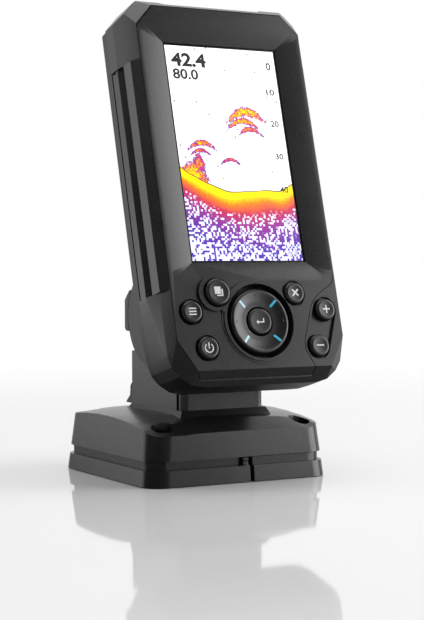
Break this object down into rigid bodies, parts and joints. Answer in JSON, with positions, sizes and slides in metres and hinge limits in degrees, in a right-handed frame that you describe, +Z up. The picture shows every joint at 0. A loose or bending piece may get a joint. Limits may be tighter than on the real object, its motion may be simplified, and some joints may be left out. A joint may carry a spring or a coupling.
{
  "type": "fish finder",
  "caption": "Portable fish finder: an upright display head with round keys and a direction pad, tilting on a lift-off post over a square swivelling stand.",
  "frame": {"origin": "middle of the underside of the stand's foot, on the surface it stands on", "axes": "+X to the viewer's right, -Y towards the viewer, +Z up; the display faces -Y and leans back"},
  "size_m": [0.0896, 0.109, 0.2054],
  "materials": {
    "shell": "fine satin texture",
    "shell_dark": "fine satin texture",
    "key": "smooth satin",
    "rubber": "matt",
    "silicone": "matt",
    "steel": "satin",
    "lens": "polished",
    "display": "smooth",
    "diffuser": "smooth",
    "board": "solder mask",
    "acetal": "smooth",
    "ceramic": "fired",
    "contacts": "polished",
    "light_bar": "clear tinted"
  },
  "bodies": {
    "foot": {"foot_plate": "shell_dark", "foot_pad": "rubber", "swivel_stop_tab": "shell_dark", "bearing_ring": "acetal", "pivot_bolt": "steel", "pivot_nut": "steel"},
    "swivel": {"swivel_cover": "shell", "pivot_washer": "steel", "lever_pin": "steel"},
    "lever": {"release_lever": "shell_dark", "lever_spring": "steel"},
    "post": {"lift_post": "shell", "friction_washers": "steel"},
    "head": {"front_frame": "shell", "face_panel": "shell", "panel_seal": "rubber", "rear_housing": "shell_dark", "housing_seal": "rubber", "housing_screws": "steel", "hinge_cover": "shell_dark", "tilt_axle": "steel", "axle_nut": "steel", "screen_lens": "lens", "lcd_glass": "display", "backlight": "diffuser", "lcd_tray": "steel", "lcd_gasket": "rubber", "tray_pads": "rubber", "main_board": "board", "board_screws": "steel", "sonar_shield": "steel", "gps_patch": "ceramic", "beeper": "shell_dark", "key_mat": "silicone", "key_switches": "steel", "gimbal_posts": "steel", "rear_socket": "shell_dark", "socket_nut": "steel", "socket_pins": "contacts"},
    "gimbal": {"gimbal_ring": "steel"},
    "pad": {"direction_pad": "key", "pad_light_bars": "light_bar"},
    "menu": {"menu_key": "key"},
    "power": {"power_key": "key"},
    "pages": {"pages_key": "key"},
    "exit": {"exit_key": "key"},
    "zoom_in": {"zoom_in_key": "key"},
    "zoom_out": {"zoom_out_key": "key"},
    "enter": {"enter_key": "key"}
  },
  "joints": [
    {"name": "swivel_turn", "type": "hinge", "parent": "foot", "child": "swivel", "pos_m": [0, 0, 0.0123], "axis": [0, 0, 1], "range_deg": [-60, 60]},
    {"name": "post_lift", "type": "slide", "parent": "swivel", "child": "post", "axis": [0, 0, 1], "range_m": [0, 0.03]},
    {"name": "head_tilt", "type": "hinge", "parent": "post", "child": "head", "pos_m": [0, -0.007, 0.07], "axis": [1, 0, 0], "range_deg": [-20, 15]},
    {"name": "lever_press", "type": "hinge", "parent": "swivel", "child": "lever", "pos_m": [0, 0.0215, 0.0372], "axis": [1, 0, 0], "range_deg": [0, 12], "stiffness_Nm_per_rad": 0.25},
    {"name": "pad_rock_up_down", "type": "hinge", "parent": "head", "child": "gimbal", "pos_m": [0, -0.05228, 0.06761], "axis": [1, 0, 0], "range_deg": [-2, 2], "stiffness_Nm_per_rad": 0.8},
    {"name": "pad_rock_left_right", "type": "hinge", "parent": "gimbal", "child": "pad", "pos_m": [0, -0.05228, 0.06761], "axis": [0, 0.2605, 0.9655], "range_deg": [-2, 2], "stiffness_Nm_per_rad": 0.8},
    {"name": "menu_press", "type": "slide", "parent": "head", "child": "menu", "axis": [0, 0.9655, -0.2605], "range_m": [0, 0.0008], "stiffness_N_per_m": 2000},
    {"name": "power_press", "type": "slide", "parent": "head", "child": "power", "axis": [0, 0.9655, -0.2605], "range_m": [0, 0.0008], "stiffness_N_per_m": 2000},
    {"name": "pages_press", "type": "slide", "parent": "head", "child": "pages", "axis": [0, 0.9655, -0.2605], "range_m": [0, 0.0008], "stiffness_N_per_m": 2000},
    {"name": "exit_press", "type": "slide", "parent": "head", "child": "exit", "axis": [0, 0.9655, -0.2605], "range_m": [0, 0.0008], "stiffness_N_per_m": 2000},
    {"name": "zoom_in_press", "type": "slide", "parent": "head", "child": "zoom_in", "axis": [0, 0.9655, -0.2605], "range_m": [0, 0.0008], "stiffness_N_per_m": 2000},
    {"name": "zoom_out_press", "type": "slide", "parent": "head", "child": "zoom_out", "axis": [0, 0.9655, -0.2605], "range_m": [0, 0.0008], "stiffness_N_per_m": 2000},
    {"name": "enter_press", "type": "slide", "parent": "pad", "child": "enter", "axis": [0, 0.9655, -0.2605], "range_m": [0, 0.0008], "stiffness_N_per_m": 2000}
  ]
}
